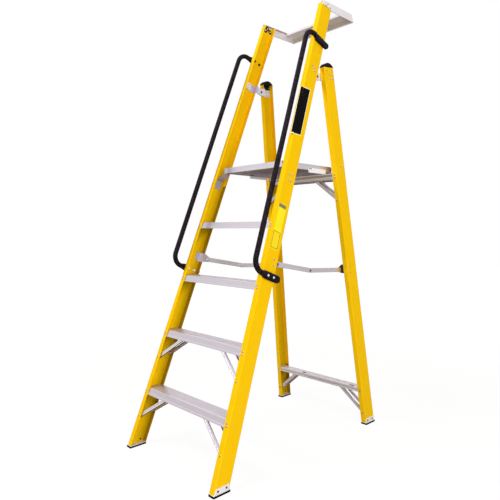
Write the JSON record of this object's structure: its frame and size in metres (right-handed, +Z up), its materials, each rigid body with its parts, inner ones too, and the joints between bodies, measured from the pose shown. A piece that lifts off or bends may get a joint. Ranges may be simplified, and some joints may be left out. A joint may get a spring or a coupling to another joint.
{
  "type": "platform step ladder",
  "caption": "Folding platform step ladder: yellow fibreglass stiles, aluminium treads, handrails, top tray, fold-up platform and jointed spreaders.",
  "frame": {"origin": "on the floor, in the middle of the four feet", "axes": "+X to the climber's right, +Y from the climbing side to the rear, +Z up"},
  "size_m": [0.724, 1.261, 2.4581],
  "materials": {
    "fibreglass": "moulded yellow fibreglass, semi-gloss",
    "aluminium_extrusion": "mill finish, lengthwise die lines",
    "aluminium_sheet": "pressed sheet, satin",
    "steel_brackets": "bright zinc plate",
    "steel_pins": "zinc plate",
    "aluminium_rivets": "satin",
    "handrail_sleeve": "black sleeve with a faint pebble",
    "black_plastic": "moulded, satin",
    "foot_rubber": "moulded, matte",
    "dark_plate": "bare dark label stock",
    "bright_plate": "bare bright yellow label stock"
  },
  "bodies": {
    "front_frame": {"front_stile_left": "fibreglass", "front_stile_right": "fibreglass", "tread_1": "aluminium_extrusion", "tread_2": "aluminium_extrusion", "tread_3": "aluminium_extrusion", "tread_4": "aluminium_extrusion", "tread_braces": "aluminium_sheet", "tray_arm_left": "aluminium_sheet", "tray_arm_right": "aluminium_sheet", "tray_crosspiece": "aluminium_sheet", "handrail_left": "handrail_sleeve", "handrail_right": "handrail_sleeve", "handrail_bolts": "steel_pins", "fold_bracket_front_left": "steel_brackets", "fold_bracket_front_right": "steel_brackets", "fold_pins": "steel_pins", "platform_bracket_left": "steel_brackets", "platform_bracket_right": "steel_brackets", "platform_pins": "steel_pins", "spreader_bracket_front_left": "steel_brackets", "spreader_bracket_front_right": "steel_brackets", "spreader_front_pins": "steel_pins", "boot_front_left": "aluminium_sheet", "boot_front_right": "aluminium_sheet", "foot_front_left": "foot_rubber", "foot_front_right": "foot_rubber", "dark_plate": "dark_plate", "bright_plate": "bright_plate", "front_rivets": "aluminium_rivets"},
    "rear_frame": {"rear_stile_left": "fibreglass", "rear_stile_right": "fibreglass", "stile_cap_left": "black_plastic", "stile_cap_right": "black_plastic", "fold_bracket_rear_left": "steel_brackets", "fold_bracket_rear_right": "steel_brackets", "platform_rest": "aluminium_extrusion", "platform_rest_braces": "aluminium_sheet", "rear_tread": "aluminium_extrusion", "rear_tread_braces": "aluminium_sheet", "spreader_bracket_rear_left": "steel_brackets", "spreader_bracket_rear_right": "steel_brackets", "spreader_rear_pins": "steel_pins", "boot_rear_left": "aluminium_sheet", "boot_rear_right": "aluminium_sheet", "foot_rear_left": "foot_rubber", "foot_rear_right": "foot_rubber", "rear_rivets": "aluminium_rivets"},
    "platform": {"platform_deck": "aluminium_extrusion", "platform_nose": "aluminium_extrusion", "platform_rail_left": "aluminium_extrusion", "platform_rail_right": "aluminium_extrusion", "platform_latch_left": "aluminium_sheet", "platform_latch_right": "aluminium_sheet", "latch_screws": "steel_pins"},
    "spreader_front_left": {"spreader_front_link_left": "aluminium_sheet", "spreader_elbow_pin_left": "steel_pins"},
    "spreader_rear_left": {"spreader_rear_link_left": "aluminium_sheet"},
    "spreader_front_right": {"spreader_front_link_right": "aluminium_sheet", "spreader_elbow_pin_right": "steel_pins"},
    "spreader_rear_right": {"spreader_rear_link_right": "aluminium_sheet"}
  },
  "joints": [
    {"name": "fold", "type": "hinge", "parent": "front_frame", "child": "rear_frame", "pos_m": [0, 0.23943, 2.018], "axis": [-1, 0, 0], "range_deg": [0, 27.88]},
    {"name": "platform_fold", "type": "hinge", "parent": "front_frame", "child": "platform", "pos_m": [0, -0.03884, 1.4945], "axis": [1, 0, 0], "range_deg": [0, 69.83]},
    {"name": "spreader_front_left_swing", "type": "hinge", "parent": "front_frame", "child": "spreader_front_left", "pos_m": [-0.27177, -0.14273, 0.975], "axis": [-1, 0, 0], "range_deg": [0, 100.28]},
    {"name": "spreader_rear_left_swing", "type": "hinge", "parent": "rear_frame", "child": "spreader_rear_left", "pos_m": [-0.26747, 0.39114, 0.9176], "axis": [1, 0, 0], "range_deg": [0, 100.05]},
    {"name": "spreader_front_right_swing", "type": "hinge", "parent": "front_frame", "child": "spreader_front_right", "pos_m": [0.27177, -0.14273, 0.975], "axis": [-1, 0, 0], "range_deg": [0, 100.28]},
    {"name": "spreader_rear_right_swing", "type": "hinge", "parent": "rear_frame", "child": "spreader_rear_right", "pos_m": [0.26747, 0.39114, 0.9176], "axis": [1, 0, 0], "range_deg": [0, 100.05]}
  ],
  "couplings": [
    {"joint": "platform_fold", "follows": "fold", "ratio": 2.504},
    {"joint": "spreader_front_left_swing", "follows": "fold", "ratio": 3.5961},
    {"joint": "spreader_rear_left_swing", "follows": "fold", "ratio": 3.588},
    {"joint": "spreader_front_right_swing", "follows": "fold", "ratio": 3.5961},
    {"joint": "spreader_rear_right_swing", "follows": "fold", "ratio": 3.588}
  ]
}
